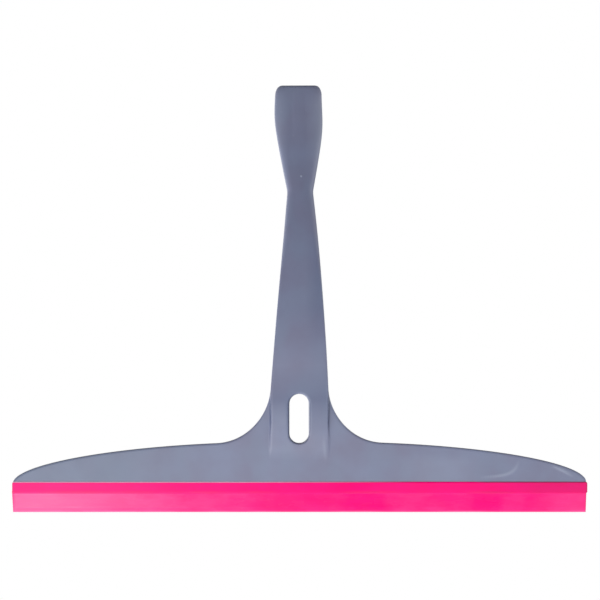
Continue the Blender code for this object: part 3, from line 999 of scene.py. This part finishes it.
def floor_material():
    """Matt white that glows a little, so that it stays close to the paper's white."""
    n = Nodes("pale_floor")
    n.set("Base Color", (0.9, 0.9, 0.9, 1))
    n.set("Roughness", 0.9)
    n.set("Emission Color", PAPER_WHITE)
    n.set("Emission Strength", 0.5)
    return n.material


def build_floor():
    """A round white floor well below the object. It takes no part in the object's light."""
    bm = bmesh.new()
    bmesh.ops.create_circle(bm, cap_ends=True, segments=96, radius=FLOOR_RADIUS)
    bmesh.ops.translate(bm, vec=(0, 0, FLOOR_HEIGHT), verts=bm.verts)
    mesh = bpy.data.meshes.new("floor")
    bm.to_mesh(mesh)
    bm.free()
    floor = link("floor", mesh)
    mesh.materials.append(floor_material())
    floor.visible_diffuse = False
    floor.visible_glossy = False
    floor.visible_shadow = False


def lobe(tree, direction, strength):
    """The strength of one broad soft light, as it falls off away from its direction."""
    facing = tree.nodes.new("ShaderNodeVectorMath")
    facing.operation = "DOT_PRODUCT"
    facing.inputs[1].default_value = Vector(direction).normalized()
    half = tree.nodes.new("ShaderNodeMath")
    half.operation = "MULTIPLY_ADD"
    half.inputs[1].default_value = 0.5
    half.inputs[2].default_value = 0.5
    focus = tree.nodes.new("ShaderNodeMath")
    focus.operation = "POWER"
    focus.inputs[1].default_value = LOBE_FOCUS
    scale = tree.nodes.new("ShaderNodeMath")
    scale.operation = "MULTIPLY"
    scale.inputs[1].default_value = strength
    tree.links.new(facing.outputs["Value"], half.inputs[0])
    tree.links.new(half.outputs[0], focus.inputs[0])
    tree.links.new(focus.outputs[0], scale.inputs[0])
    return facing.inputs[0], scale.outputs[0]


def build_world():
    """White paper behind the object, and soft light round it: most from below and from the sides."""
    world = bpy.data.worlds.new("studio")
    bpy.context.scene.world = world
    world.use_nodes = True
    tree = world.node_tree
    tree.nodes.clear()
    towards = tree.nodes.new("ShaderNodeTexCoord").outputs["Generated"]
    total = None
    for direction, strength in SKY_LOBES:
        into, out = lobe(tree, direction, strength)
        tree.links.new(towards, into)
        if total is not None:
            both = tree.nodes.new("ShaderNodeMath")
            tree.links.new(total, both.inputs[0])
            tree.links.new(out, both.inputs[1])
            out = both.outputs[0]
        total = out
    seen = tree.nodes.new("ShaderNodeBackground")
    seen.inputs["Color"].default_value = PAPER_WHITE
    around = tree.nodes.new("ShaderNodeBackground")
    tree.links.new(total, around.inputs["Strength"])
    path = tree.nodes.new("ShaderNodeLightPath")
    pick = tree.nodes.new("ShaderNodeMixShader")
    out = tree.nodes.new("ShaderNodeOutputWorld")
    tree.links.new(path.outputs["Is Camera Ray"], pick.inputs[0])
    tree.links.new(around.outputs[0], pick.inputs[1])
    tree.links.new(seen.outputs[0], pick.inputs[2])
    tree.links.new(pick.outputs[0], out.inputs["Surface"])


def softbox(name, place, target, width, height, power):
    """A rectangular light that points at the target and isn't seen by the camera."""
    data = bpy.data.lights.new(name, "AREA")
    data.shape = "RECTANGLE"
    data.size, data.size_y = width, height
    data.energy = power
    light = link(name, data)
    light.location = place
    light.rotation_euler = (Vector(target) - Vector(place)).to_track_quat("-Z", "Y").to_euler()
    light.visible_camera = False
    return light


def build_lights():
    """Two small lights for the blade: a glare on its left half, and a low fill."""
    blade = (-0.08, 0, -0.055)
    softbox("blade_glare", (-0.30, -1.20, -0.35), blade, 0.16, 0.12, 5.0)
    softbox("low_fill", (0.0, -0.6, -0.40), blade, 0.9, 0.12, 1.1)


def build_camera():
    """A level view from the front, far enough away that the object looks nearly flat."""
    data = bpy.data.cameras.new("camera")
    data.sensor_width = SENSOR
    data.lens = SENSOR * CAMERA_DISTANCE / VIEW_WIDTH
    data.clip_end = CLIP_END
    camera = link("camera", data)
    camera.location = (VIEW_ACROSS, -CAMERA_DISTANCE, VIEW_HEIGHT + EDGE)
    camera.rotation_euler = (math.pi / 2, 0, 0)
    bpy.context.scene.camera = camera


def main():
    """Builds the stage and the two pieces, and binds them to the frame."""
    bpy.context.scene.view_settings.view_transform = "Standard"
    build_world()
    build_camera()
    build_lights()
    build_floor()
    body = build_moulded_body()
    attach(body, "squeegee")
    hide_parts("head_and_handle")
    blade = build_pink_blade()
    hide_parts("blade_band", "blade_lip")
    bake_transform(blade, "squeegee", "lip", start=(0, 0, BAND_BOTTOM + EDGE), end=(0, 0, EDGE + 4 * MM))


main()
